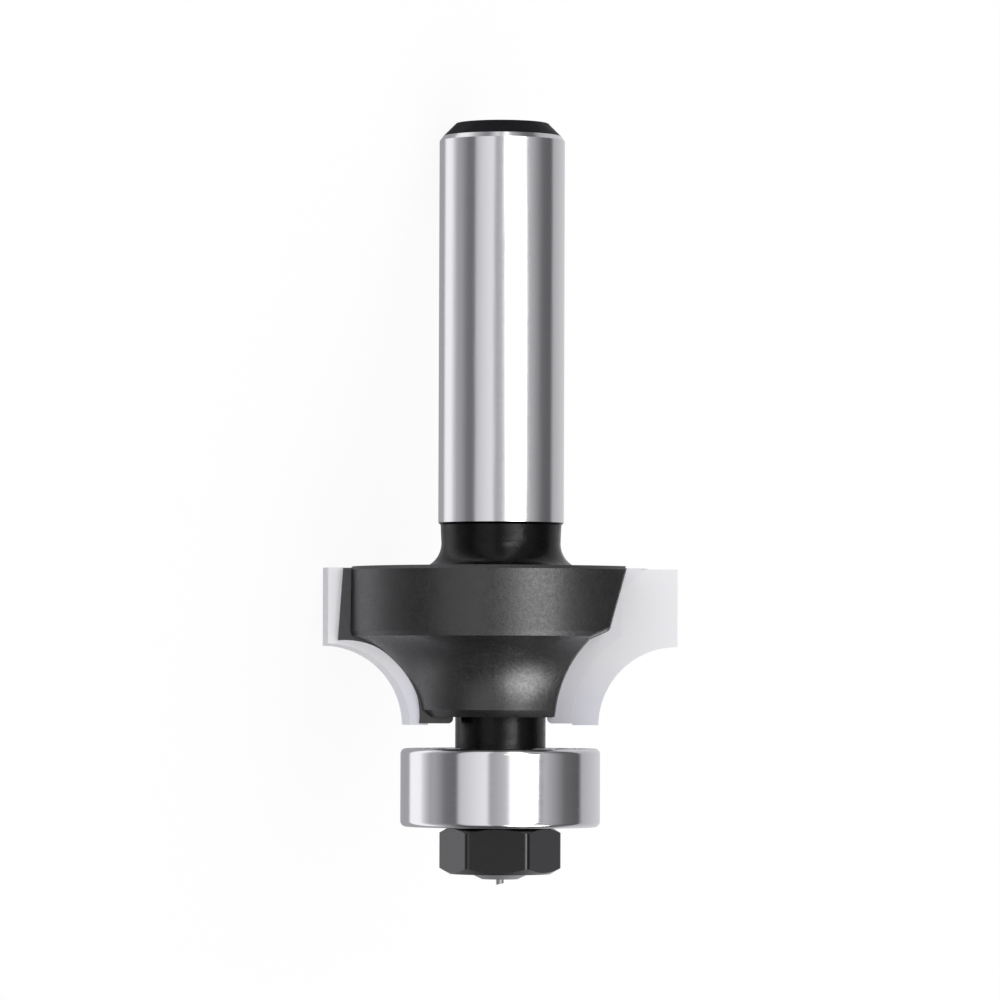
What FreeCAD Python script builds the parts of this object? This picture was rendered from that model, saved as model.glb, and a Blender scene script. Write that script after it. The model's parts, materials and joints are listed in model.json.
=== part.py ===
"""Corner-rounding router bit with two carbide wings and a guide bearing.

Sizes are in millimetres. The bit is modelled on its own axis: Z runs along the
axis with the shank upwards, and z = 0 is the top of the head. The first wing
points to +X and its cutting face looks to -Y. The finished bit is then laid on
its side as it comes to rest: on the edge of its shank's end, a corner of its
head's rim and the cutting corner of its second wing.
"""
import FreeCAD, Part
import math
import os

V = FreeCAD.Vector
AXIS = V(0, 0, 1)
ORIGIN = V(0, 0, 0)

# Shank
SHANK_R = 4.0
SHANK_LENGTH = 28.33          # from the head's top to the end face
SHANK_END_CHAMFER = 0.83      # 45 degree chamfer round the end face
SHANK_EDGE_WIDTH = 0.22       # soft edge between that chamfer and the shank
SHANK_EDGE_LENGTH = 0.30

# Neck between shank and head
NECK_R = 3.8
NECK_LENGTH = 2.84
NECK_STEP = 0.05              # how far the neck's top stands in from the shank, past the taper
NECK_FLARE_R = 1.6
NECK_FLARE_START = 1.52       # where the flare leaves the straight neck

# Cutting circle and guide bearing
WINGS = 2
ROUNDING_R = 5.0              # radius that the bit cuts on a board's edge
BEARING_R = 6.35
BEARING_BORE_R = 2.381
BEARING_WIDTH = 4.978

# Head
HEAD_HEIGHT = 9.52
HEAD_R = 9.92
HEAD_EDGE = 0.22              # edge break round the head's top
BAND_HEIGHT = 4.1             # straight band above the cove
BAND_CHAMFER = 0.1
COVE_SETBACK = 0.82           # the head's cove stands this far behind the cutting arc
FOOT_EDGE = 0.45              # 45 degree chamfer round the head's foot

# Carbide tips
RAKE_OFFSET = 1.1             # cutting face behind the axis, which gives the hook angle
CARBIDE_T = 1.3
CARBIDE_TOP = -0.08
CARBIDE_BOTTOM = -10.03
CARBIDE_BAND_WIDTH = 3.6      # carbide behind its straight edge, along the face
CARBIDE_COVE_WIDTH = 1.75     # the same behind its curved edge
CARBIDE_CORNER = 1.4          # slanted inner corner at the carbide's top
FLANK_RELIEF = 0.16           # how far the flank falls away over the carbide's thickness
BRAZE_T = 0.08

# Steel wing behind each carbide tip
WING_SETBACK_TOP = 1.37       # from the cutting circle, at the wing's top
WING_SETBACK_BAND = 1.05      # the same where the wing's cove begins
WING_TOP = -0.12
WING_BAND_END = -4.7
WING_COVE_SETBACK = 1.2       # steel behind the cutting arc, at its middle and its foot
WING_BOTTOM = -9.93
WING_FOOT_INNER = 0.42        # gap between the wing's foot and the lower neck
WING_FOOT_EDGE = 0.3
WING_T = 0.6                  # steel behind the carbide, at the wing's top
WING_T_FOOT = 0.25            # the same at its foot

# Gullet in front of each wing, milled square to the cutting face
GULLET_TOP_BACK = 3.5         # wall behind the cutting circle, at the head's top
GULLET_SLOPE = 0.273          # how the wall leans in, from the head's top
GULLET_BAND_END = 3.85        # to this depth below it
GULLET_COVE_START = 4.4       # from this depth the wall follows the cutting arc
GULLET_COVE_SETBACK = 3.07    # this far behind it
GULLET_EDGE_R = 0.25          # where the wall turns
GULLET_ROOT_R = 0.2

# Lower neck and arbor
LOWER_NECK_R = 2.88
LOWER_NECK_LENGTH = 2.0
SEAT_SHORT = 0.25             # bearing seat ends this far before the bearing does
THREAD_R = 2.0
THREAD_END_R = 1.15
THREAD_END_CHAMFER = 0.4
ARBOR_PROUD = 0.33            # arbor's end beyond the nut
PIP_R = 0.24
PIP_LENGTH = 0.36
PIP_SLANT = 12.0

# Hexagon nut
NUT_FLATS = 6.8
NUT_CORNER_R = 0.4
NUT_HEIGHT = 3.0
NUT_CHAMFER_ANGLE = 30.0
NUT_FACE_R = 3.2              # where the corner chamfers meet the nut's faces
NUT_TURN = -3.5
NUT_BORE_EDGE = 0.3

# Ball bearing
BALLS = 7
RING_WALL = 0.774             # thinnest wall of both rings, behind their raceways
BALL_CLEARANCE = 0.02
GROOVE_RATIO = 1.05           # raceway radius over ball radius
SHOULDER = 0.42               # shoulder height of both raceways
SHOULDER_EDGE = 0.1
RING_EDGE = 0.35
BORE_EDGE = 0.2
CAGE_T = 0.2
CAGE_WIDTH = 0.86             # radial width of the cage ribbon
CAGE_CLEARANCE = 0.05
RIVET_R = 0.16
RIVET_HEAD_R = 0.27
RIVET_HEAD_T = 0.1
SHIELD_T = 0.2
SHIELD_RECESS = 0.42          # outer face of a shield below the ring's face
SHIELD_SEAT = 0.3             # how far the shield's rim is let into the outer ring
SHIELD_GAP = 0.12             # running gap to the inner ring
SHIELD_STEP_IN = 0.2          # where the shield's step starts, inside the ring's shoulder
SHIELD_STEP = 0.1
CLIP_LET_IN = 0.06            # depth of the clip's groove
CLIP_R = 0.14                 # wire radius of the spring ring that holds a shield
CLIP_GAP_ANGLE = 16.0

# Levels along the axis and other sizes that follow from those above
CUTTER_R = BEARING_R + ROUNDING_R
PITCH_R = (BEARING_R + BEARING_BORE_R) / 2
BALL_R = (BEARING_R - BEARING_BORE_R) / 2 - RING_WALL - BALL_CLEARANCE
HEAD_BOTTOM = -HEAD_HEIGHT
BEARING_TOP = HEAD_BOTTOM - LOWER_NECK_LENGTH
BEARING_BOTTOM = BEARING_TOP - BEARING_WIDTH
BEARING_MIDDLE = (BEARING_TOP + BEARING_BOTTOM) / 2
NUT_BOTTOM = BEARING_BOTTOM - NUT_HEIGHT
ARBOR_END = NUT_BOTTOM - ARBOR_PROUD
CARBIDE_BACK = RAKE_OFFSET + CARBIDE_T
WING_BACK = CARBIDE_BACK + WING_T
COVE_MIDDLE_ANGLE = math.radians(40)
CUT_MARGIN = 2.0              # how far cutting shapes reach past what they cut
TOUCH = 1e-6
REST_STEPS = 20               # rounds that settle the lying pose
SHANK_EDGE_Z = SHANK_LENGTH - SHANK_END_CHAMFER - SHANK_EDGE_LENGTH


def line(start, end):
    return Part.LineSegment(start, end).toShape()


def arc(start, middle, end):
    return Part.Arc(start, middle, end).toShape()


def flat_point(x, z):
    """A point of an outline in the XZ plane."""
    return V(x, 0, z)


def open_lines(points):
    return [line(a, b) for a, b in zip(points, points[1:])]


def rounded_outline(corners):
    """Closed outline from (x, z, corner radius) values."""
    points = [flat_point(x, z) for x, z, radius in corners]
    edges = []
    starts = []
    ends = []
    middles = []
    for i, (x, z, radius) in enumerate(corners):
        here = points[i]
        back = (points[i - 1] - here).normalize()
        ahead = (points[(i + 1) % len(points)] - here).normalize()
        half = back.getAngle(ahead) / 2
        reach = radius / math.tan(half)
        inward = (back + ahead).normalize()
        centre = here + inward * (radius / math.sin(half))
        starts.append(here + back * reach)
        ends.append(here + ahead * reach)
        middles.append(centre - inward * radius)
    for i, (x, z, radius) in enumerate(corners):
        if radius > 0:
            edges.append(arc(starts[i], middles[i], ends[i]))
        edges.append(line(ends[i], starts[(i + 1) % len(corners)]))
    return edges


def turned(edges):
    """Solid of revolution from a closed outline in the XZ plane."""
    return Part.Face(Part.Wire(edges)).revolve(ORIGIN, AXIS, 360)


def plate(edges, y_from, y_to):
    """Flat plate between two depths, from an outline at y = 0."""
    face = Part.Face(Part.Wire(edges))
    face.translate(V(0, y_from, 0))
    return face.extrude(V(0, y_to - y_from, 0))


def disc(radius, z_from, z_to):
    return Part.makeCylinder(radius, z_to - z_from, V(0, 0, z_from))


def around(shape, turn):
    """Copy of a shape turned about the axis by an angle in degrees."""
    copy = shape.copy()
    copy.rotate(ORIGIN, AXIS, turn)
    return copy


def wing_turns():
    return [360.0 * i / WINGS for i in range(WINGS)]


def ball_turns():
    return [360.0 * i / BALLS for i in range(BALLS)]


def one_solid(shape):
    """The single solid inside a boolean result, with split faces joined."""
    clean = shape.removeSplitter()
    if len(clean.Solids) != 1:
        raise ValueError("expected one solid, got %d" % len(clean.Solids))
    return clean.Solids[0]


# Steel body

def bar():
    """Shank, neck, lower neck and arbor, turned in one outline."""
    end_r = SHANK_R - SHANK_EDGE_WIDTH - SHANK_END_CHAMFER
    flare_centre_r = NECK_R + NECK_FLARE_R
    flare_end_r = flare_centre_r - math.sqrt(NECK_FLARE_R**2 - NECK_FLARE_START**2)
    half = math.asin(NECK_FLARE_START / NECK_FLARE_R) / 2
    flare_start = flat_point(NECK_R, NECK_FLARE_START)
    flare_middle = flat_point(flare_centre_r - NECK_FLARE_R * math.cos(half),
                              NECK_FLARE_START - NECK_FLARE_R * math.sin(half))
    seat_end = BEARING_BOTTOM + SEAT_SHORT
    above = [
        flat_point(0, SHANK_LENGTH),
        flat_point(end_r, SHANK_LENGTH),
        flat_point(end_r + SHANK_END_CHAMFER, SHANK_LENGTH - SHANK_END_CHAMFER),
        flat_point(SHANK_R, SHANK_EDGE_Z),
        flat_point(SHANK_R, NECK_LENGTH),
        flat_point(NECK_R + NECK_STEP, NECK_LENGTH - (SHANK_R - NECK_R - NECK_STEP)),
        flare_start,
    ]
    below = [
        flat_point(flare_end_r, 0),
        flat_point(flare_end_r, -HEAD_EDGE),
        flat_point(LOWER_NECK_R, -HEAD_EDGE),
        flat_point(LOWER_NECK_R, BEARING_TOP),
        flat_point(BEARING_BORE_R, BEARING_TOP),
        flat_point(BEARING_BORE_R, seat_end),
        flat_point(THREAD_R, seat_end),
        flat_point(THREAD_R, ARBOR_END + THREAD_END_CHAMFER),
        flat_point(THREAD_END_R, ARBOR_END),
        flat_point(0, ARBOR_END),
        flat_point(0, SHANK_LENGTH),
    ]
    edges = open_lines(above)
    edges.append(arc(flare_start, flare_middle, below[0]))
    edges += open_lines(below)
    return turned(edges)


def head():
    """Turned head: a straight band, then a cove that follows the cutting arc."""
    radius = ROUNDING_R + COVE_SETBACK
    cove_start_r = HEAD_R - BAND_CHAMFER
    cove_end_z = HEAD_BOTTOM + FOOT_EDGE
    cove_start = flat_point(cove_start_r, CARBIDE_BOTTOM
                            + math.sqrt(radius**2 - (CUTTER_R - cove_start_r) ** 2))
    cove_end = flat_point(CUTTER_R - math.sqrt(radius**2 - (cove_end_z - CARBIDE_BOTTOM) ** 2),
                          cove_end_z)
    cove_middle = flat_point(CUTTER_R - radius * math.cos(COVE_MIDDLE_ANGLE),
                             CARBIDE_BOTTOM + radius * math.sin(COVE_MIDDLE_ANGLE))
    foot_end = flat_point(cove_end.x - FOOT_EDGE, HEAD_BOTTOM)
    edges = open_lines([
        flat_point(0, 0),
        flat_point(HEAD_R - HEAD_EDGE, 0),
        flat_point(HEAD_R, -HEAD_EDGE),
        flat_point(HEAD_R, -BAND_HEIGHT),
        cove_start,
    ])
    edges.append(arc(cove_start, cove_middle, cove_end))
    edges += open_lines([cove_end, foot_end, flat_point(0, HEAD_BOTTOM), flat_point(0, 0)])
    return turned(edges)


def wing_plate(y_from, y_to):
    """Steel that stands proud of the head behind a carbide tip."""
    radius = ROUNDING_R + WING_COVE_SETBACK
    inner_x = LOWER_NECK_R + WING_FOOT_INNER
    cove_start = flat_point(CUTTER_R - WING_SETBACK_BAND, WING_BAND_END)
    cove_middle = flat_point(CUTTER_R - radius * math.sqrt(0.5),
                             CARBIDE_BOTTOM + radius * math.sqrt(0.5))
    cove_end = flat_point(CUTTER_R - radius, WING_BOTTOM)
    corner = WING_FOOT_EDGE * (1 - math.sqrt(0.5))
    edges = open_lines([
        flat_point(inner_x - WING_FOOT_EDGE, WING_TOP),
        flat_point(CUTTER_R - WING_SETBACK_TOP, WING_TOP),
        cove_start,
    ])
    edges.append(arc(cove_start, cove_middle, cove_end))
    edges.append(line(cove_end, flat_point(inner_x, WING_BOTTOM)))
    edges.append(arc(flat_point(inner_x, WING_BOTTOM),
                     flat_point(inner_x - WING_FOOT_EDGE + corner, WING_BOTTOM + corner),
                     flat_point(inner_x - WING_FOOT_EDGE, WING_BOTTOM + WING_FOOT_EDGE)))
    edges.append(line(flat_point(inner_x - WING_FOOT_EDGE, WING_BOTTOM + WING_FOOT_EDGE),
                      flat_point(inner_x - WING_FOOT_EDGE, WING_TOP)))
    return plate(edges, y_from, y_to)


def wing_steel():
    """Steel plate of a wing, whose back leans in towards its foot."""
    outside = CUTTER_R + CUT_MARGIN
    lean = (WING_T - WING_T_FOOT) / WING_BOTTOM
    back = [
        V(-outside, WING_BACK - lean * CUT_MARGIN, CUT_MARGIN),
        V(-outside, WING_BACK + CUT_MARGIN, CUT_MARGIN),
        V(-outside, WING_BACK + CUT_MARGIN, WING_BOTTOM - CUT_MARGIN),
        V(-outside, WING_BACK - lean * (WING_BOTTOM - CUT_MARGIN), WING_BOTTOM - CUT_MARGIN),
    ]
    face = Part.Face(Part.Wire(open_lines(back + back[:1])))
    relief = face.extrude(V(2 * outside, 0, 0))
    return wing_plate(RAKE_OFFSET, WING_BACK).cut(relief)


def gullet_turns():
    """Outline points where the gullet's straight wall ends and its arc begins."""
    radius = ROUNDING_R + GULLET_COVE_SETBACK
    rise = -GULLET_COVE_START - CARBIDE_BOTTOM
    upper = flat_point(CUTTER_R - GULLET_TOP_BACK - GULLET_SLOPE * GULLET_BAND_END,
                       -GULLET_BAND_END)
    return upper, flat_point(CUTTER_R - math.sqrt(radius**2 - rise**2), -GULLET_COVE_START)


def gullet():
    """Space milled in front of a wing, with its wall square to the cutting face."""
    outside = CUTTER_R + CUT_MARGIN
    radius = ROUNDING_R + GULLET_COVE_SETBACK
    top_x = CUTTER_R - GULLET_TOP_BACK + GULLET_SLOPE * CUT_MARGIN
    turns = gullet_turns()
    angle = math.asin((turns[1].z - CARBIDE_BOTTOM) / radius)
    top = flat_point(top_x, CUT_MARGIN)
    foot = flat_point(CUTTER_R - radius, CARBIDE_BOTTOM)
    middle = flat_point(CUTTER_R - radius * math.cos(angle / 2),
                        CARBIDE_BOTTOM + radius * math.sin(angle / 2))
    edges = [line(top, turns[0]), line(turns[0], turns[1]), arc(turns[1], middle, foot)]
    edges += open_lines([
        foot,
        flat_point(CUTTER_R - radius, HEAD_BOTTOM - CUT_MARGIN),
        flat_point(outside, HEAD_BOTTOM - CUT_MARGIN),
        flat_point(outside, CUT_MARGIN),
        top,
    ])
    tool = plate(edges, -outside, RAKE_OFFSET)
    corners = [
        edge for edge in tool.Edges for turn in turns
        if abs(edge.BoundBox.XMin - turn.x) < TOUCH
        and abs(edge.BoundBox.XMax - turn.x) < TOUCH
        and abs(edge.BoundBox.ZMin - turn.z) < TOUCH
    ]
    tool = tool.makeFillet(GULLET_EDGE_R, corners)
    root = [
        edge for edge in tool.Edges
        if abs(edge.BoundBox.YMin - RAKE_OFFSET) < TOUCH
        and edge.BoundBox.XMax < outside - TOUCH
        and edge.BoundBox.ZMin > HEAD_BOTTOM - CUT_MARGIN - TOUCH
    ]
    return tool.makeFillet(GULLET_ROOT_R, root)


def carbide_inner(depth, widening, top_z):
    """Inner side of a tip's outline, as edges from its foot to its top."""
    back_x = CUTTER_R - CARBIDE_BAND_WIDTH - widening
    radius = ROUNDING_R + CARBIDE_COVE_WIDTH + widening
    rise = math.sqrt(radius**2 - (CUTTER_R - back_x) ** 2)
    angle = math.atan2(rise, CUTTER_R - back_x) / 2
    corner_z = CARBIDE_TOP - CARBIDE_CORNER + widening * (math.sqrt(2) - 1)
    foot = V(CUTTER_R - radius, depth, CARBIDE_BOTTOM)
    middle = V(CUTTER_R - radius * math.cos(angle), depth,
               CARBIDE_BOTTOM + radius * math.sin(angle))
    bend = V(back_x, depth, CARBIDE_BOTTOM + rise)
    corner = V(back_x, depth, corner_z)
    top = V(back_x + top_z - corner_z, depth, top_z)
    return [arc(foot, middle, bend), line(bend, corner), line(corner, top)]


def carbide_pocket():
    """Recess in the wing that takes a tip and the braze round it."""
    outside = CUTTER_R + CUT_MARGIN
    edges = carbide_inner(0, BRAZE_T, CUT_MARGIN)
    foot = edges[0].Vertexes[0].Point
    edges += open_lines([
        edges[-1].Vertexes[-1].Point,
        flat_point(outside, CUT_MARGIN),
        flat_point(outside, CARBIDE_BOTTOM - CUT_MARGIN),
        flat_point(foot.x, CARBIDE_BOTTOM - CUT_MARGIN),
        foot,
    ])
    return plate(edges, RAKE_OFFSET - CUT_MARGIN, CARBIDE_BACK + BRAZE_T)


def at_depth(radius, depth, z):
    """Point of a turned profile where it crosses a plane beside the axis."""
    return V(math.sqrt(radius**2 - depth**2), depth, z)


def tip_wire(depth, relief):
    """Outline of a carbide tip at one depth behind its cutting face."""
    radius = ROUNDING_R + relief
    slant = math.sqrt(0.5)
    inner = carbide_inner(depth, 0, CARBIDE_TOP)
    outer_top = at_depth(CUTTER_R - relief, depth, CARBIDE_TOP)
    arc_start = at_depth(CUTTER_R - relief, depth,
                         CARBIDE_BOTTOM + math.sqrt(radius**2 - relief**2))
    arc_middle = at_depth(CUTTER_R - radius * slant, depth, CARBIDE_BOTTOM + radius * slant)
    arc_end = at_depth(CUTTER_R - radius, depth, CARBIDE_BOTTOM)
    return Part.Wire(inner + [
        line(inner[-1].Vertexes[-1].Point, outer_top),
        line(outer_top, arc_start),
        arc(arc_start, arc_middle, arc_end),
        line(arc_end, inner[0].Vertexes[0].Point),
    ])


def carbide_tip():
    """Carbide plate: cutting edge in front, flank falling away behind it."""
    front = tip_wire(RAKE_OFFSET, 0)
    back = tip_wire(CARBIDE_BACK, FLANK_RELIEF)
    return Part.makeLoft([front, back], True, True)


def braze():
    """Film of solder between a tip and its recess."""
    filled = wing_plate(RAKE_OFFSET, CARBIDE_BACK + BRAZE_T).common(carbide_pocket())
    return one_solid(filled.cut(carbide_tip()))


def parting_pip():
    """Stub left in the middle of the arbor's end when it was parted off."""
    pip = disc(PIP_R, ARBOR_END - PIP_LENGTH, ARBOR_END + PIP_LENGTH)
    cutter = Part.makeBox(4 * PIP_R, 4 * PIP_R, PIP_LENGTH, V(-PIP_R, -2 * PIP_R, 0))
    cutter.translate(V(0, 0, -PIP_LENGTH))
    cutter.rotate(V(-PIP_R, 0, 0), V(0, 1, 0), -PIP_SLANT)
    cutter.translate(V(0, 0, ARBOR_END - PIP_LENGTH))
    return pip.cut(cutter)


def bit_body():
    steel = head()
    for turn in wing_turns():
        steel = steel.fuse(around(wing_steel(), turn))
    for turn in wing_turns():
        steel = steel.cut(around(gullet(), turn))
    for turn in wing_turns():
        steel = steel.cut(around(carbide_pocket(), turn))
    steel = steel.fuse(bar())
    steel = steel.fuse(parting_pip())
    return one_solid(steel)


# Guide bearing, modelled about its own middle

def raceway(side):
    """Groove bottom, shoulder and groove centre radius of a ring's raceway.

    side is +1 for the outer ring and -1 for the inner ring.
    """
    groove_r = BALL_R * GROOVE_RATIO
    bottom = PITCH_R + side * (BALL_R + BALL_CLEARANCE)
    shoulder = bottom - side * SHOULDER
    centre = bottom - side * groove_r
    half_width = math.sqrt(groove_r**2 - (shoulder - centre) ** 2)
    return bottom, shoulder, half_width


def raceway_arc(side):
    bottom, shoulder, half_width = raceway(side)
    return arc(flat_point(shoulder, half_width), flat_point(bottom, 0),
               flat_point(shoulder, -half_width))


def corner_arc(x, z, radius, x_side, z_side):
    """Rounded corner that ends on the faces x and z."""
    away = radius * (1 - math.sqrt(0.5))
    return arc(flat_point(x - x_side * radius, z),
               flat_point(x - x_side * away, z - z_side * away),
               flat_point(x, z - z_side * radius))


def shield_levels():
    """Outer and inner face of a shield's rim, above the bearing's middle."""
    outer = BEARING_WIDTH / 2 - SHIELD_RECESS
    return outer, outer - SHIELD_T


def outer_ring():
    half = BEARING_WIDTH / 2
    bottom, shoulder, groove = raceway(1)
    seat_r = shoulder + SHIELD_SEAT
    clip_r = seat_r + CLIP_LET_IN
    shield_out, shield_in = shield_levels()
    clip_top = shield_out + 2 * CLIP_R
    upper = [
        flat_point(shoulder, groove),
        flat_point(shoulder, shield_in),
        flat_point(seat_r, shield_in),
        flat_point(seat_r, shield_out),
        flat_point(clip_r, shield_out),
        flat_point(clip_r, clip_top),
        flat_point(seat_r, clip_top),
        flat_point(seat_r, half),
        flat_point(BEARING_R - RING_EDGE, half),
    ]
    lower = [V(p.x, 0, -p.z) for p in reversed(upper)]
    edges = open_lines(upper)
    edges.append(corner_arc(BEARING_R, half, RING_EDGE, 1, 1))
    edges.append(line(flat_point(BEARING_R, half - RING_EDGE),
                      flat_point(BEARING_R, RING_EDGE - half)))
    edges.append(corner_arc(BEARING_R, -half, RING_EDGE, 1, -1))
    edges += open_lines(lower)
    edges.append(raceway_arc(1))
    return turned(Part.__sortEdges__(edges))


def inner_ring():
    half = BEARING_WIDTH / 2
    bottom, shoulder, groove = raceway(-1)
    upper = [
        flat_point(shoulder, groove),
        flat_point(shoulder, half - SHOULDER_EDGE),
        flat_point(shoulder - SHOULDER_EDGE, half),
        flat_point(BEARING_BORE_R + BORE_EDGE, half),
        flat_point(BEARING_BORE_R, half - BORE_EDGE),
    ]
    lower = [V(p.x, 0, -p.z) for p in reversed(upper)]
    edges = open_lines(upper + lower)
    edges.append(raceway_arc(-1))
    return turned(Part.__sortEdges__(edges))


def ball(turn):
    return around(Part.makeSphere(BALL_R, V(PITCH_R, 0, 0)), turn)


def ribbon_band(z_from, z_to):
    outer = disc(PITCH_R + CAGE_WIDTH / 2, z_from, z_to)
    return outer.cut(disc(PITCH_R - CAGE_WIDTH / 2, z_from, z_to))


def cage_ribbon():
    """Upper half of the pressed cage: flat lands between domed pockets."""
    inner = BALL_R + CAGE_CLEARANCE
    outer = inner + CAGE_T
    dome = Part.makeSphere(outer, V(PITCH_R, 0, 0)).common(ribbon_band(0, outer))
    hollow = Part.makeSphere(inner, V(PITCH_R, 0, 0))
    ribbon = ribbon_band(0, CAGE_T)
    for turn in ball_turns():
        ribbon = ribbon.fuse(around(dome, turn))
    for turn in ball_turns():
        ribbon = ribbon.cut(around(hollow, turn))
    return ribbon.removeSplitter()


def rivet_turns():
    return [turn + 180.0 / BALLS for turn in ball_turns()]


def cage_upper():
    """Upper ribbon with its rivets, which pass through the lower one."""
    cage = cage_ribbon()
    length = CAGE_T + RIVET_HEAD_T
    shank = Part.makeCylinder(RIVET_R, 2 * length, V(PITCH_R, 0, -length))
    top_head = Part.makeCylinder(RIVET_HEAD_R, RIVET_HEAD_T, V(PITCH_R, 0, CAGE_T))
    low_head = Part.makeCylinder(RIVET_HEAD_R, RIVET_HEAD_T, V(PITCH_R, 0, -length))
    rivet = shank.fuse(top_head).fuse(low_head)
    for turn in rivet_turns():
        cage = cage.fuse(around(rivet, turn))
    return one_solid(cage)


def cage_lower():
    cage = cage_ribbon().mirror(ORIGIN, AXIS)
    hole = Part.makeCylinder(RIVET_R, 2 * CAGE_T, V(PITCH_R, 0, -CAGE_T * 1.5))
    for turn in rivet_turns():
        cage = cage.cut(around(hole, turn))
    return one_solid(cage)


def shield():
    """Pressed shield with a shallow step, for the upper side."""
    outer_face, inner_face = shield_levels()
    rim_r = raceway(1)[1] + SHIELD_SEAT
    step_r = raceway(1)[1] - SHIELD_STEP_IN
    hole_r = raceway(-1)[1] + SHIELD_GAP
    return turned(open_lines([
        flat_point(hole_r, inner_face - SHIELD_STEP),
        flat_point(step_r - SHIELD_STEP, inner_face - SHIELD_STEP),
        flat_point(step_r, inner_face),
        flat_point(rim_r, inner_face),
        flat_point(rim_r, outer_face),
        flat_point(step_r, outer_face),
        flat_point(step_r - SHIELD_STEP, outer_face - SHIELD_STEP),
        flat_point(hole_r, outer_face - SHIELD_STEP),
        flat_point(hole_r, inner_face - SHIELD_STEP),
    ]))


def shield_clip():
    """Open spring ring of round wire, sprung into its groove over the shield."""
    centre_r = raceway(1)[1] + SHIELD_SEAT + CLIP_LET_IN - CLIP_R
    z = shield_levels()[0] + CLIP_R
    section = Part.Face(Part.Wire([Part.makeCircle(CLIP_R, V(centre_r, 0, z), V(0, 1, 0))]))
    return section.revolve(ORIGIN, AXIS, 360.0 - CLIP_GAP_ANGLE)


def at_bearing(shape):
    copy = shape.copy()
    copy.translate(V(0, 0, BEARING_MIDDLE))
    return copy


def underside(shape):
    return shape.mirror(ORIGIN, AXIS)


# Nut

def hex_nut():
    corner_r = NUT_FLATS / math.sqrt(3)
    corners = [(corner_r * math.cos(math.radians(60 * i)),
                corner_r * math.sin(math.radians(60 * i)), NUT_CORNER_R) for i in range(6)]
    prism = plate(rounded_outline(corners), 0, NUT_HEIGHT)
    prism.rotate(ORIGIN, V(1, 0, 0), 90)
    drop = (corner_r - NUT_FACE_R) * math.tan(math.radians(NUT_CHAMFER_ANGLE))
    double_cone = turned(open_lines([
        flat_point(0, 0),
        flat_point(NUT_FACE_R, 0),
        flat_point(corner_r, drop),
        flat_point(corner_r, NUT_HEIGHT - drop),
        flat_point(NUT_FACE_R, NUT_HEIGHT),
        flat_point(0, NUT_HEIGHT),
        flat_point(0, 0),
    ]))
    bore = turned(open_lines([
        flat_point(0, 0),
        flat_point(THREAD_R + NUT_BORE_EDGE, 0),
        flat_point(THREAD_R, NUT_BORE_EDGE),
        flat_point(THREAD_R, NUT_HEIGHT - NUT_BORE_EDGE),
        flat_point(THREAD_R + NUT_BORE_EDGE, NUT_HEIGHT),
        flat_point(0, NUT_HEIGHT),
        flat_point(0, 0),
    ]))
    nut = prism.common(double_cone).cut(bore)
    nut.rotate(ORIGIN, AXIS, NUT_TURN)
    nut.translate(V(0, 0, NUT_BOTTOM))
    return one_solid(nut)


# Whole bit

def make_parts():
    """Every piece on the bit's own axis, by name."""
    parts = {"bit_body": bit_body()}
    for number, turn in enumerate(wing_turns(), 1):
        parts["carbide_tip_%d" % number] = around(carbide_tip(), turn)
        parts["braze_layer_%d" % number] = around(braze(), turn)
    parts["bearing_outer_ring"] = at_bearing(outer_ring())
    parts["bearing_inner_ring"] = at_bearing(inner_ring())
    for number, turn in enumerate(ball_turns(), 1):
        parts["bearing_ball_%d" % number] = at_bearing(ball(turn))
    parts["bearing_cage_upper"] = at_bearing(cage_upper())
    parts["bearing_cage_lower"] = at_bearing(cage_lower())
    parts["bearing_shield_upper"] = at_bearing(shield())
    parts["bearing_shield_lower"] = at_bearing(underside(shield()))
    parts["shield_clip_upper"] = at_bearing(shield_clip())
    parts["shield_clip_lower"] = at_bearing(underside(shield_clip()))
    parts["hex_nut"] = hex_nut()
    return parts


def way_down():
    """Direction that points down when the bit lies still, as azimuth and tilt.

    It touches the surface at three points: the edge of the shank's end, the corner
    that the second wing's gullet leaves on the head's rim, and that wing's cutting
    corner.
    """
    rim_x = CUTTER_R - GULLET_TOP_BACK - GULLET_SLOPE * HEAD_EDGE
    rim = V(-rim_x, math.sqrt(HEAD_R**2 - rim_x**2), -HEAD_EDGE)
    cutter = around(Part.Vertex(at_depth(CUTTER_R, RAKE_OFFSET, CARBIDE_TOP)), 180).Point
    step = cutter - rim
    slope = 0.0
    for _ in range(REST_STEPS):
        side = math.acos(-slope * step.z / math.hypot(step.x, step.y))
        azimuth = math.atan2(step.y, step.x) - side
        reach = rim.x * math.cos(azimuth) + rim.y * math.sin(azimuth)
        slope = (reach - SHANK_R) / (SHANK_EDGE_Z - rim.z)
    return math.degrees(azimuth), math.degrees(math.atan(slope))


def lay_down(parts):
    """Lay the bit on its side and put the origin under its middle."""
    azimuth, tilt = way_down()
    for shape in parts.values():
        shape.rotate(ORIGIN, AXIS, 90 - azimuth)
        shape.rotate(ORIGIN, V(1, 0, 0), -(90 + tilt))
    box = Part.Compound(list(parts.values())).optimalBoundingBox(False, False)
    shift = V(-(box.XMin + box.XMax) / 2, -(box.YMin + box.YMax) / 2, -box.ZMin)
    for shape in parts.values():
        shape.translate(shift)
    print("turn %.6f, tilt %.6f degrees" % (90 - azimuth, tilt))
    print("head top at %.6f %.6f %.6f" % (shift.x, shift.y, shift.z))
    return parts


def main():
    os.makedirs("parts", exist_ok=True)
    for name, shape in lay_down(make_parts()).items():
        if not shape.isValid():
            raise ValueError(name + " is not a valid solid")
        shape.exportStep("parts/%s.step" % name)


main()
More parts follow.
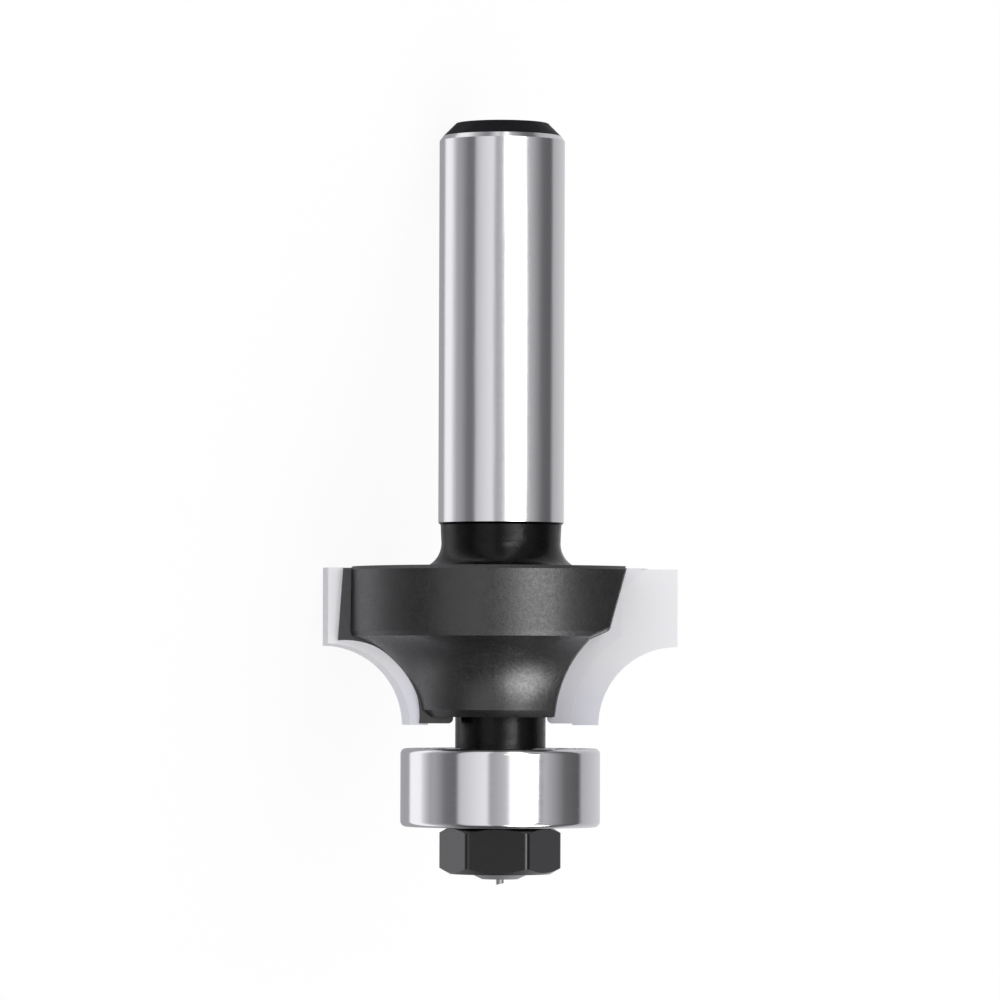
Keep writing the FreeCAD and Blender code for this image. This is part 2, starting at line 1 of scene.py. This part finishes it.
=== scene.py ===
"""Looks of the corner-rounding router bit: finishes, turned bearing rings, studio and camera.

Lengths are in metres. BIT is the bit's own frame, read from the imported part: its Z runs
along the axis towards the shank's end, its X points to the first wing, and z = 0 is the
top of the head.
"""
import json
import math

import bmesh
import bpy
from mathutils import Matrix, Vector


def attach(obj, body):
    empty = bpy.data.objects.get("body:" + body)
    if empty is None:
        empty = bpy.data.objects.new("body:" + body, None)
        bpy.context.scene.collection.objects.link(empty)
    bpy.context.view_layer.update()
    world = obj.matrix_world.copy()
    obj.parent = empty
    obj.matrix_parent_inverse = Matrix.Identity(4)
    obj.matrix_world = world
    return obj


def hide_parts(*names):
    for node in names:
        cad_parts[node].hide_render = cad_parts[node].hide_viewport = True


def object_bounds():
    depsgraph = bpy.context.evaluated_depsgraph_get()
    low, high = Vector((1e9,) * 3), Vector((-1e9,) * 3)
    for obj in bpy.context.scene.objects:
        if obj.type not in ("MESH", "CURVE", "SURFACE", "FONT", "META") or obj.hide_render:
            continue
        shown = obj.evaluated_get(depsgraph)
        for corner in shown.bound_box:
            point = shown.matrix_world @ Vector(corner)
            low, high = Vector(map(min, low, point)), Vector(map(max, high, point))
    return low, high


MM = 0.001
MICRON = 0.001 * MM

# Levels and radii of the body on the bit's own axis
SHANK_CHAMFER_START = 27.5 * MM
COATING_TOP = 2.84 * MM
HEAD_UNDERSIDE = -9.52 * MM
LOWER_NECK_LENGTH = 2.0 * MM
LOWER_NECK_END = HEAD_UNDERSIDE - LOWER_NECK_LENGTH
LOWER_NECK_R = 2.88 * MM
POCKET_BACK = 2.48 * MM    # from the axis to the back of a wing's pocket
NEAR = 10 * MICRON         # a face this close to a level lies on it
SQUARE_ON = 0.999          # cosine from which a face counts as square to an axis

# Guide bearing: its middle on the bit's axis, and its own levels about that middle
BEARING_WIDTH = 4.978 * MM
BEARING_MIDDLE = LOWER_NECK_END - BEARING_WIDTH / 2
BEARING_R = 6.35 * MM
BEARING_BORE_R = 2.381 * MM
PITCH_R = 4.3655 * MM
BALLS = 7
RACEWAY_DEPTH = 1.2105 * MM    # from the pitch circle to a groove's bottom
GROOVE_R = 1.25 * MM
SHOULDER = 0.42 * MM
RING_EDGE = 0.35 * MM
RING_EDGE_FLAT = RING_EDGE / 8    # narrow flats that keep a rounded edge's shading clean
BORE_EDGE = 0.2 * MM
SHOULDER_EDGE = 0.1 * MM
SHIELD_SEAT = 0.3 * MM
SHIELD_TOP = 2.069 * MM
SHIELD_FOOT = 1.869 * MM
CLIP_LET_IN = 0.06 * MM
CLIP_TOP = 2.349 * MM
RIVET_LEVEL = 0.3 * MM
RIVET_HEAD_R = 0.27 * MM
RIVET_DOME = 0.09 * MM

# How finely the turned pieces are divided
RING_SEGMENTS = 256
GROOVE_STEPS = 24
RING_EDGE_STEPS = 10
RIVET_SEGMENTS = 24
RIVET_RINGS = 12
SHARP_ANGLE = math.radians(30)

# Levels between which the wings' colour goes darker and a little violet, as painted shade
# towards their foot
FOOT_SHADE_START = -6.0 * MM
FOOT_SHADE_FULL = -8.5 * MM

# Camera and what the lamps aim at, in the bit's own frame
CAMERA_PLACE = Vector((-0.07, -395.0, -7.7)) * MM
CAMERA_TARGET = Vector((-0.07, 0.0, 4.3)) * MM
CAMERA_LENS = 223.2      # lens and sensor are in millimetres
CAMERA_SENSOR = 36.0
CAMERA_REACH = 10.0
CAMERA_ROLL = math.radians(0.19)
LAMP_TARGET = Vector((0.0, 0.0, 4.0)) * MM

# Floor
FLOOR_SIZE = 10.0
FLOOR_GAP = 10 * MICRON
FLOOR_GLOW = 0.92    # how much of its white is its own, as the camera sees it

# Level of the plain light on matt surfaces
PLAIN_LIGHT = 1.05

# Brightness round the bit as its polished parts show it: angle from the camera, level
REFLECTED = [(-180, .41), (-131, .41), (-127, 1.1), (-106, 1.1), (-99, .72), (-89, .42),
             (-82, .42), (-74, .32), (-67, .20), (-52, .15), (-48, .62), (-30, .82),
             (-15, .96), (-12, .38), (8, .58), (16, 1.8), (32, 1.8), (37, .34), (48, .32),
             (52, .52), (66, .34), (80, .15), (103, .10), (109, .50), (140, .65), (170, .72),
             (180, .41)]
# Below its soft boxes the studio is dark: depth as a sine, from and to
DARK_FROM, DARK_TO, DARK_LEVEL = 0.65, 0.97, 0.1


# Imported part

def bit_frame(joints):
    """Matrix from the bit's own frame to the part's frame, read from the bearing's joints."""
    spin = joints["guide_spin"]
    middle = Vector(spin["pos_m"])
    along = Vector(spin["axis"]).normalized()
    side = (Vector(joints["ball_1_spin"]["pos_m"]) - middle).normalized()
    depth = along.cross(side)
    turn = Matrix((side, depth, along)).transposed().to_4x4()
    return Matrix.Translation(middle - along * BEARING_MIDDLE) @ turn


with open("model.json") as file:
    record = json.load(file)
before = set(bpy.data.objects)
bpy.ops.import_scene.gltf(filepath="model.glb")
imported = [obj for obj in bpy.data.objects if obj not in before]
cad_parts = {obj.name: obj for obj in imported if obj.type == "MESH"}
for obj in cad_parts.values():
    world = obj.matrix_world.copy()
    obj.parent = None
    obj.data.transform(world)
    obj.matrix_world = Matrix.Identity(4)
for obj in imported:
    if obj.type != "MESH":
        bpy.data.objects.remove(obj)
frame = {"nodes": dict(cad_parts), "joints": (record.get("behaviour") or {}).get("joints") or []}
cad_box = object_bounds()
BIT = bit_frame({joint["name"]: joint for joint in frame["joints"]})
# The bit's X, Y and Z as the camera sees them
SIDEWAYS, AWAY, UPWARDS = (BIT.col[axis].to_3d() for axis in range(3))


# Colours and node helpers

def grey(level):
    return (level, level, level, 1.0)


WHITE = grey(1.0)


def feed(tree, socket, value):
    """Link a socket to another socket, or set it to a plain value."""
    if isinstance(value, bpy.types.NodeSocket):
        tree.links.new(value, socket)
    else:
        socket.default_value = value


def add_node(tree, kind, **sockets):
    """Add a node; its sockets are given with _ for the spaces in their names."""
    node = tree.nodes.new(kind)
    for label, value in sockets.items():
        feed(tree, node.inputs[label.replace("_", " ")], value)
    return node


def add_operation(tree, kind, operation, *values):
    """Add a Math or Vector Math node, with its sockets given in order."""
    node = tree.nodes.new(kind)
    node.operation = operation
    for socket, value in zip(node.inputs, values):
        feed(tree, socket, value)
    return node


def mix_colours(tree, amount, first, second):
    """Colour that goes from first to second as the amount goes from 0 to 1."""
    node = add_node(tree, "ShaderNodeMix", Factor=amount)
    node.data_type = "RGBA"
    colours = [socket for socket in node.inputs if socket.type == "RGBA"]
    for socket, colour in zip(colours, (first, second)):
        feed(tree, socket, colour)
    return [socket for socket in node.outputs if socket.type == "RGBA"][0]


class Finish:
    """A material whose patterns are laid out in the bit's own frame."""

    def __init__(self, name, colour, metallic, specular=0.5):
        self.material = bpy.data.materials.new(name)
        self.material.use_nodes = True
        self.material.diffuse_color = colour
        self.tree = self.material.node_tree
        self.shader = self.tree.nodes["Principled BSDF"].inputs
        self.shader["Base Color"].default_value = colour
        self.shader["Metallic"].default_value = metallic
        self.shader["Specular IOR Level"].default_value = specular
        source = add_node(self.tree, "ShaderNodeTexCoord")
        mapping = add_node(self.tree, "ShaderNodeMapping", Vector=source.outputs["Object"],
                           Location=BIT.translation, Rotation=BIT.to_euler())
        mapping.vector_type = "TEXTURE"
        self.place = mapping.outputs["Vector"]

    def noise(self, scale, detail):
        """Noise with one scale, or one for each direction of the bit's own frame, per metre."""
        if not isinstance(scale, tuple):
            scale = (scale, scale, scale)
        mapping = add_node(self.tree, "ShaderNodeMapping", Vector=self.place, Scale=scale)
        texture = add_node(self.tree, "ShaderNodeTexNoise", Vector=mapping.outputs["Vector"],
                           Scale=1.0, Detail=detail, Roughness=0.6)
        return texture.outputs["Fac"]

    def spread(self, value, low, high, start=0.3, end=0.7):
        """Spread a value from start..end to low..high."""
        node = add_node(self.tree, "ShaderNodeMapRange", Value=value, From_Min=start,
                        From_Max=end, To_Min=low, To_Max=high)
        return node.outputs["Result"]

    def colour(self, amount, first, second):
        """Let the colour go from first to second as the amount goes from 0 to 1."""
        mixed = mix_colours(self.tree, amount, first, second)
        feed(self.tree, self.shader["Base Color"], mixed)

    def roughness(self, pattern, low, high):
        """Let the roughness follow a pattern from low to high."""
        feed(self.tree, self.shader["Roughness"], self.spread(pattern, low, high))

    def bump(self, pattern, height):
        """Add a pattern's relief to the relief that the finish already has."""
        node = add_node(self.tree, "ShaderNodeBump", Strength=1.0, Distance=height,
                        Height=pattern)
        if self.shader["Normal"].is_linked:
            feed(self.tree, node.inputs["Normal"], self.shader["Normal"].links[0].from_socket)
        feed(self.tree, self.shader["Normal"], node.outputs["Normal"])


# Finishes of the body

def ground_steel():
    """Centreless-ground shank: bright, a little wavy, with fine marks that run round it."""
    finish = Finish("ground_steel", grey(0.80), metallic=1.0)
    waves = finish.noise((800, 800, 80), 2.0)
    marks = finish.noise((300, 300, 9000), 3.0)
    finish.roughness(marks, 0.165, 0.195)
    finish.bump(waves, 10 * MICRON)
    finish.bump(marks, 0.1 * MICRON)
    return finish.material


def hardened_end():
    """Dark scale on the shank's end, left from hardening."""
    finish = Finish("hardened_end", (0.004, 0.004, 0.006, 1.0), metallic=0.0, specular=0.12)
    scale = finish.noise(1500, 4.0)
    finish.roughness(scale, 0.42, 0.6)
    finish.bump(scale, 3 * MICRON)
    return finish.material


def black_coating():
    """Satin black coating over the head."""
    finish = Finish("black_coating", grey(0.007), metallic=0.0, specular=0.92)
    grain = finish.noise(4500, 4.0)
    patches = finish.noise(900, 3.0)
    finish.colour(finish.spread(patches, 0.0, 1.0), grey(0.004), (0.010, 0.010, 0.0105, 1.0))
    finish.roughness(grain, 0.28, 0.42)
    finish.bump(grain, 10 * MICRON)
    return finish.material


def neck_black():
    """Both necks, turned smooth and blacked more deeply than the head."""
    finish = Finish("neck_black", grey(0.002), metallic=0.0, specular=0.24)
    patches = finish.noise(1300, 4.0)
    finish.roughness(patches, 0.16, 0.34)
    finish.bump(patches, 22 * MICRON)
    return finish.material


def parted_steel():
    """Arbor's end and its stub, as the parting tool left them."""
    finish = Finish("parted_steel", grey(0.42), metallic=1.0)
    tearing = finish.noise(2500, 3.0)
    finish.roughness(tearing, 0.36, 0.5)
    finish.bump(tearing, 2 * MICRON)
    return finish.material


def foot_shaded_finish(name, bright, shaded_colour):
    """Ground metal, painted darker and a little more violet towards the wing's foot as painted
    shade.
    """
    finish = Finish(name, bright, metallic=0.25)
    # Painted shade: the colour goes from the bright one to the darker one towards the wing's
    # foot
    split = add_node(finish.tree, "ShaderNodeSeparateXYZ", Vector=finish.place)
    foot_shade = finish.spread(split.outputs["Z"], 1.0, 0.0, FOOT_SHADE_FULL, FOOT_SHADE_START)
    finish.colour(foot_shade, bright, shaded_colour)
    marks = finish.noise((9000, 400, 400), 3.0)
    finish.roughness(marks, 0.44, 0.56)
    return finish.material


def ground_land():
    """Steel of a wing, ground together with its carbide."""
    # The second colour is painted shade at the wing's foot
    return foot_shaded_finish("ground_land", (0.77, 0.765, 0.79, 1.0), (0.72, 0.72, 0.77, 1.0))


# Finishes of the other pieces

def ground_carbide():
    # The second colour is painted shade at the wing's foot
    return foot_shaded_finish("ground_carbide", (0.80, 0.80, 0.82, 1.0), (0.73, 0.73, 0.79, 1.0))


def silver_solder():
    finish = Finish("silver_solder", (0.77, 0.77, 0.78, 1.0), metallic=0.25)
    finish.roughness(finish.noise(4000, 3.0), 0.4, 0.55)
    return finish.material


def bearing_steel():
    """Bearing rings, ground and lapped round their axis."""
    finish = Finish("bearing_steel", grey(0.82), metallic=1.0)
    finish.roughness(finish.noise((300, 300, 12000), 3.0), 0.09, 0.16)
    return finish.material


def ball_steel():
    finish = Finish("ball_steel", grey(0.85), metallic=1.0)
    finish.roughness(finish.noise(2500, 3.0), 0.03, 0.07)
    return finish.material


def pressed_steel():
    """Cold-rolled strip, pressed and tumbled."""
    finish = Finish("pressed_steel", grey(0.6), metallic=1.0)
    tumbling = finish.noise(3000, 4.0)
    finish.roughness(tumbling, 0.24, 0.38)
    finish.bump(tumbling, 2 * MICRON)
    return finish.material


def spring_wire():
    finish = Finish("spring_wire", grey(0.4), metallic=1.0)
    finish.roughness(finish.noise(5000, 2.0), 0.24, 0.36)
    return finish.material


def black_oxide():
    """Oiled black oxide on the nut."""
    finish = Finish("black_oxide", grey(0.004), metallic=0.0, specular=0.75)
    grain = finish.noise(5000, 3.0)
    finish.roughness(grain, 0.14, 0.2)
    finish.bump(grain, 0.6 * MICRON)
    return finish.material


# Where each finish goes

# Finishes of the body by zone, in the order of its material slots
BODY_FINISHES = {"shank": ground_steel, "head": black_coating, "land": ground_land,
                 "arbor": parted_steel, "shank end": hardened_end, "neck": neck_black}


def body_zone(centre, out):
    """Zone of a face of the body, from its centre and the way it faces, in the bit's frame."""
    if centre.z > SHANK_CHAMFER_START:
        return "shank end"
    if centre.z > COATING_TOP:
        return "shank"
    if centre.z < LOWER_NECK_END - NEAR:
        return "arbor"
    below_head = centre.z < HEAD_UNDERSIDE - NEAR
    if centre.z > NEAR or below_head and centre.xy.length < LOWER_NECK_R + NEAR:
        return "neck"
    if abs(out.y) > SQUARE_ON and abs(centre.y) < POCKET_BACK + NEAR:
        return "land"
    return "head"


def dress_body(body):
    """Give each face of the body the finish of its zone."""
    for finish in BODY_FINISHES.values():
        body.data.materials.append(finish())
    zones = list(BODY_FINISHES)
    to_bit = BIT.inverted()
    for face in body.data.polygons:
        zone = body_zone(to_bit @ face.center, to_bit.to_3x3() @ face.normal)
        face.material_index = zones.index(zone)


def dress_nodes(ring_steel, strip_steel):
    """Give every node but the body its finish, found by how its name starts."""
    finishes = {
        "carbide_tip": ground_carbide(), "braze_layer": silver_solder(),
        "bearing_outer_ring": ring_steel, "bearing_inner_ring": ring_steel,
        "bearing_ball": ball_steel(), "bearing_cage": strip_steel,
        "bearing_shield": strip_steel, "shield_clip": spring_wire(), "hex_nut": black_oxide(),
    }
    for name, node in frame["nodes"].items():
        node.data.materials.clear()
        for start, finish in finishes.items():
            if name.startswith(start):
                node.data.materials.append(finish)


# Pieces from Geometry Nodes

class Tree:
    """A Geometry Nodes tree with named inputs, which ends in one finished mesh."""

    def __init__(self, name, inputs):
        self.group = bpy.data.node_groups.new(name, "GeometryNodeTree")
        for label, kind in inputs:
            self.group.interface.new_socket(label, in_out="INPUT", socket_type=kind)
        self.group.interface.new_socket("Geometry", in_out="OUTPUT",
                                        socket_type="NodeSocketGeometry")
        self.inputs = self.node("NodeGroupInput").outputs

    def node(self, kind, **sockets):
        return add_node(self.group, kind, **sockets)

    def finish(self, geometry):
        real = self.node("GeometryNodeRealizeInstances", Geometry=geometry)
        painted = self.node("GeometryNodeSetMaterial", Geometry=real.outputs["Geometry"],
                            Material=self.inputs["Finish"])
        self.node("NodeGroupOutput", Geometry=painted.outputs["Geometry"])

    def mesh(self, base, values):
        """Plain mesh that the tree makes from a base mesh and the values of its inputs."""
        carrier = bpy.data.objects.new("carrier", base)
        bpy.context.collection.objects.link(carrier)
        modifier = carrier.modifiers.new(self.group.name, "NODES")
        modifier.node_group = self.group
        for item in self.group.interface.items_tree:
            if item.name in values:
                modifier[item.identifier] = values[item.name]
        seen = carrier.evaluated_get(bpy.context.evaluated_depsgraph_get())
        mesh = bpy.data.meshes.new_from_object(seen)
        carrier.modifiers.clear()
        bpy.data.objects.remove(carrier)
        return mesh

    def piece(self, name, base, values):
        """Piece that the tree makes, with its faces outwards, placed at the bearing."""
        mesh = self.mesh(base, values)
        turn_outwards(mesh)
        mesh.transform(BIT @ Matrix.Translation((0, 0, BEARING_MIDDLE)))
        mesh.shade_smooth()
        mesh.set_sharp_from_angle(angle=SHARP_ANGLE)
        mesh.name = name
        piece = bpy.data.objects.new(name, mesh)
        bpy.context.collection.objects.link(piece)
        return piece


def turn_outwards(mesh):
    """Turn every face of a closed mesh to the outside."""
    closed = bmesh.new()
    closed.from_mesh(mesh)
    bmesh.ops.recalc_face_normals(closed, faces=closed.faces)
    closed.to_mesh(mesh)
    closed.free()


def arc_points(centre, radius, start, end, steps):
    """Points along an arc of a ring's section, angles in degrees."""
    turns = [math.radians(start + (end - start) * i / steps) for i in range(steps + 1)]
    return [(centre[0] + radius * math.cos(t), centre[1] + radius * math.sin(t)) for t in turns]


def mirrored(upper):
    """A section's upper side, then the same points below its middle."""
    return upper + [(r, -z) for r, z in reversed(upper)]


def groove_points(side):
    """Raceway groove: side is 1 in the outer ring and -1 in the inner one."""
    centre = PITCH_R + side * (RACEWAY_DEPTH - GROOVE_R)
    half_turn = math.degrees(math.acos(1 - SHOULDER / GROOVE_R))
    middle = 0 if side > 0 else 180
    return arc_points((centre, 0), GROOVE_R, middle - side * half_turn,
                      middle + side * half_turn, GROOVE_STEPS)


def outer_section():
    """Outer ring: rounded corners, and a seat for shield and clip on each side."""
    half = BEARING_WIDTH / 2
    groove = groove_points(1)
    shoulder = groove[0][0]
    seat = shoulder + SHIELD_SEAT
    clip = seat + CLIP_LET_IN
    rounding = arc_points((BEARING_R - RING_EDGE, half - RING_EDGE), RING_EDGE, 90, 0,
                          RING_EDGE_STEPS)
    upper = [(shoulder, SHIELD_FOOT), (seat, SHIELD_FOOT), (seat, SHIELD_TOP),
             (clip, SHIELD_TOP), (clip, CLIP_TOP), (seat, CLIP_TOP), (seat, half),
             (BEARING_R - RING_EDGE - RING_EDGE_FLAT, half)]
    upper += rounding + [(BEARING_R, half - RING_EDGE - RING_EDGE_FLAT)]
    return mirrored(upper) + groove


def inner_section():
    """Inner ring: bevelled bore and shoulders."""
    half = BEARING_WIDTH / 2
    groove = groove_points(-1)
    shoulder = groove[0][0]
    upper = [(shoulder, half - SHOULDER_EDGE), (shoulder - SHOULDER_EDGE, half),
             (BEARING_BORE_R + BORE_EDGE, half), (BEARING_BORE_R, half - BORE_EDGE)]
    return mirrored(upper) + groove


def section_mesh(points):
    """Closed outline of a ring's section, about the pitch circle."""
    mesh = bpy.data.meshes.new("section")
    count = len(points)
    mesh.from_pydata([(r - PITCH_R, -z, 0) for r, z in points],
                     [(i, (i + 1) % count) for i in range(count)], [])
    return mesh


def turned_ring():
    """Tree that sweeps a ring's section round the bearing's axis."""
    tree = Tree("turned_ring", [("Section", "NodeSocketGeometry"),
                                ("Path Radius", "NodeSocketFloat"),
                                ("Segments", "NodeSocketInt"),
                                ("Finish", "NodeSocketMaterial")])
    section = tree.node("GeometryNodeMeshToCurve", Mesh=tree.inputs["Section"])
    path = tree.node("GeometryNodeCurvePrimitiveCircle", Resolution=tree.inputs["Segments"],
                     Radius=tree.inputs["Path Radius"])
    level = tree.node("GeometryNodeSetCurveNormal", Curve=path.outputs["Curve"])
    level.mode = "Z_UP"
    sweep = tree.node("GeometryNodeCurveToMesh", Curve=level.outputs["Curve"],
                      Profile_Curve=section.outputs["Curve"])
    tree.finish(sweep.outputs["Mesh"])
    return tree


def cage_rivets():
    """Tree that sets a domed rivet head on both sides of the cage, between the balls."""
    tree = Tree("cage_rivets", [("Base", "NodeSocketGeometry"), ("Count", "NodeSocketInt"),
                                ("Circle Radius", "NodeSocketFloat"),
                                ("Head Radius", "NodeSocketFloat"),
                                ("Head Flatness", "NodeSocketVector"),
                                ("Upper Place", "NodeSocketVector"),
                                ("Lower Place", "NodeSocketVector"),
                                ("Turn", "NodeSocketVector"),
                                ("Finish", "NodeSocketMaterial")])
    circle = tree.node("GeometryNodeMeshCircle", Vertices=tree.inputs["Count"],
                       Radius=tree.inputs["Circle Radius"])
    dome = tree.node("GeometryNodeMeshUVSphere", Segments=RIVET_SEGMENTS, Rings=RIVET_RINGS,
                     Radius=tree.inputs["Head Radius"])
    heads = tree.node("GeometryNodeInstanceOnPoints", Points=circle.outputs["Mesh"],
                      Instance=dome.outputs["Mesh"], Scale=tree.inputs["Head Flatness"])
    both = tree.node("GeometryNodeJoinGeometry")
    for place in ("Upper Place", "Lower Place"):
        side = tree.node("GeometryNodeTransform", Geometry=heads.outputs["Instances"],
                         Translation=tree.inputs[place], Rotation=tree.inputs["Turn"])
        feed(tree.group, both.inputs["Geometry"], side.outputs["Geometry"])
    tree.finish(both.outputs["Geometry"])
    return tree


def bearing_rings(ring_steel):
    """Bearing rings, turned more finely than the solids."""
    tree = turned_ring()
    for name, body, section in (("bearing_outer_ring", "guide_ring", outer_section()),
                                ("bearing_inner_ring", "bit", inner_section())):
        ring = tree.piece("turned_" + name, section_mesh(section),
                          {"Path Radius": PITCH_R, "Segments": RING_SEGMENTS,
                           "Finish": ring_steel})
        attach(ring, body)
        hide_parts(name)


def rivet_heads(strip_steel):
    """Domed heads of the rivets that hold the cage's halves together."""
    heads = cage_rivets().piece(
        "cage_rivet_heads", bpy.data.meshes.new("rivet_base"),
        {"Count": BALLS, "Circle Radius": PITCH_R, "Head Radius": RIVET_HEAD_R,
         "Head Flatness": (1.0, 1.0, RIVET_DOME / RIVET_HEAD_R),
         "Upper Place": (0.0, 0.0, RIVET_LEVEL), "Lower Place": (0.0, 0.0, -RIVET_LEVEL),
         "Turn": (0.0, 0.0, math.pi / BALLS), "Finish": strip_steel})
    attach(heads, "cage")


# Studio

def floor_white():
    """Matt white that keeps a shadow and that the camera sees as nearly white."""
    material = bpy.data.materials.new("floor_white")
    material.use_nodes = True
    tree = material.node_tree
    matt = tree.nodes["Principled BSDF"]
    matt.inputs["Base Color"].default_value = grey(0.95)
    matt.inputs["Roughness"].default_value = 0.9
    glow = add_node(tree, "ShaderNodeEmission", Color=WHITE)
    path = add_node(tree, "ShaderNodeLightPath")
    share = add_operation(tree, "ShaderNodeMath", "MULTIPLY", path.outputs["Is Camera Ray"],
                          FLOOR_GLOW)
    mix = add_node(tree, "ShaderNodeMixShader", Fac=share.outputs["Value"])
    feed(tree, mix.inputs[1], matt.outputs["BSDF"])
    feed(tree, mix.inputs[2], glow.outputs["Emission"])
    feed(tree, tree.nodes["Material Output"].inputs["Surface"], mix.outputs["Shader"])
    return material


def plain_floor(level):
    """Floor under the bit, which the polished parts don't reflect."""
    bpy.ops.mesh.primitive_plane_add(size=FLOOR_SIZE, location=(0, 0, level))
    floor = bpy.context.object
    floor.name = "floor"
    floor.data.materials.append(floor_white())
    floor.visible_glossy = False


def studio_colour(level):
    """A level of the studio as a faintly violet grey."""
    return (0.98 * level, 0.97 * level, min(1.04 * level, level + 0.01), 1.0)


def reflected_ramp(tree, position):
    """Ramp of the studio's levels; a position from 0 to 1 goes once round the bit."""
    ramp = add_node(tree, "ShaderNodeValToRGB", Fac=position)
    stops = ramp.color_ramp.elements
    stops.remove(stops[1])
    stops[0].color = studio_colour(REFLECTED[0][1])
    for degrees, level in REFLECTED[1:]:
        stops.new((degrees + 180) / 360).color = studio_colour(level)
    return ramp.outputs["Color"]


def reflected_studio(tree):
    """Studio that the polished parts show: bands round the bit, dark far below."""
    ray = add_node(tree, "ShaderNodeTexCoord").outputs["Generated"]
    side, front, down = (
        add_operation(tree, "ShaderNodeVectorMath", "DOT_PRODUCT", ray, way).outputs["Value"]
        for way in (SIDEWAYS, -AWAY, -UPWARDS))
    angle = add_operation(tree, "ShaderNodeMath", "ARCTAN2", side, front)
    position = add_operation(tree, "ShaderNodeMath", "MULTIPLY_ADD", angle.outputs["Value"],
                             0.5 / math.pi, 0.5)
    bands = reflected_ramp(tree, position.outputs["Value"])
    fade = add_node(tree, "ShaderNodeMapRange", Value=down, From_Min=DARK_FROM,
                    From_Max=DARK_TO, To_Min=1.0, To_Max=DARK_LEVEL)
    fade.interpolation_type = "SMOOTHSTEP"
    dimmed = add_operation(tree, "ShaderNodeVectorMath", "SCALE", bands)
    feed(tree, dimmed.inputs["Scale"], fade.outputs["Result"])
    return dimmed.outputs["Vector"]


def studio_world():
    """White behind the bit, a plain grey light on it, and the studio that its metal shows."""
    world = bpy.data.worlds.new("studio")
    world.use_nodes = True
    bpy.context.scene.world = world
    tree = world.node_tree
    rays = add_node(tree, "ShaderNodeLightPath").outputs
    shown = mix_colours(tree, rays["Is Glossy Ray"], grey(PLAIN_LIGHT), reflected_studio(tree))
    seen = mix_colours(tree, rays["Is Camera Ray"], shown, WHITE)
    feed(tree, tree.nodes["Background"].inputs["Color"], seen)


def soft_lamp(name, angle, rise, distance, size, energy):
    """Area lamp that only gloss shows: angle from the camera, rise towards the shank's end."""
    turn, lift = math.radians(angle), math.radians(rise)
    direction = Vector((math.sin(turn) * math.cos(lift), -math.cos(turn) * math.cos(lift),
                        math.sin(lift)))
    target = BIT @ LAMP_TARGET
    place = BIT @ (LAMP_TARGET + direction * distance)
    data = bpy.data.lights.new(name, "AREA")
    data.shape = "RECTANGLE"
    data.size, data.size_y = size
    data.energy = energy
    lamp = bpy.data.objects.new(name, data)
    bpy.context.collection.objects.link(lamp)
    lamp.location = place
    lamp.rotation_euler = (place - target).to_track_quat("Z", "Y").to_euler()
    lamp.visible_diffuse = False


def photo_camera():
    """Camera that looks square at the bit's axis, with the shank's end up."""
    place = BIT @ CAMERA_PLACE
    back = (place - BIT @ CAMERA_TARGET).normalized()
    right = UPWARDS.cross(back).normalized()
    up = back.cross(right)
    turn = Matrix((right, up, back)).transposed() @ Matrix.Rotation(CAMERA_ROLL, 3, "Z")
    data = bpy.data.cameras.new("camera")
    data.lens = CAMERA_LENS
    data.sensor_width = CAMERA_SENSOR
    data.clip_end = CAMERA_REACH
    camera = bpy.data.objects.new("camera", data)
    bpy.context.collection.objects.link(camera)
    camera.matrix_world = Matrix.Translation(place) @ turn.to_4x4()
    bpy.context.scene.camera = camera


# Whole scene

bpy.context.scene.view_settings.view_transform = "Standard"
rings, strip = bearing_steel(), pressed_steel()
dress_nodes(rings, strip)
dress_body(frame["nodes"]["bit_body"])
bearing_rings(rings)
rivet_heads(strip)
plain_floor(cad_box[0][2] - FLOOR_GAP)
studio_world()
soft_lamp("key_softbox", angle=26, rise=6, distance=0.6, size=(0.17, 0.42), energy=0.8)
soft_lamp("low_lamp", angle=40, rise=-52, distance=0.5, size=(0.30, 0.27), energy=1.6)
photo_camera()
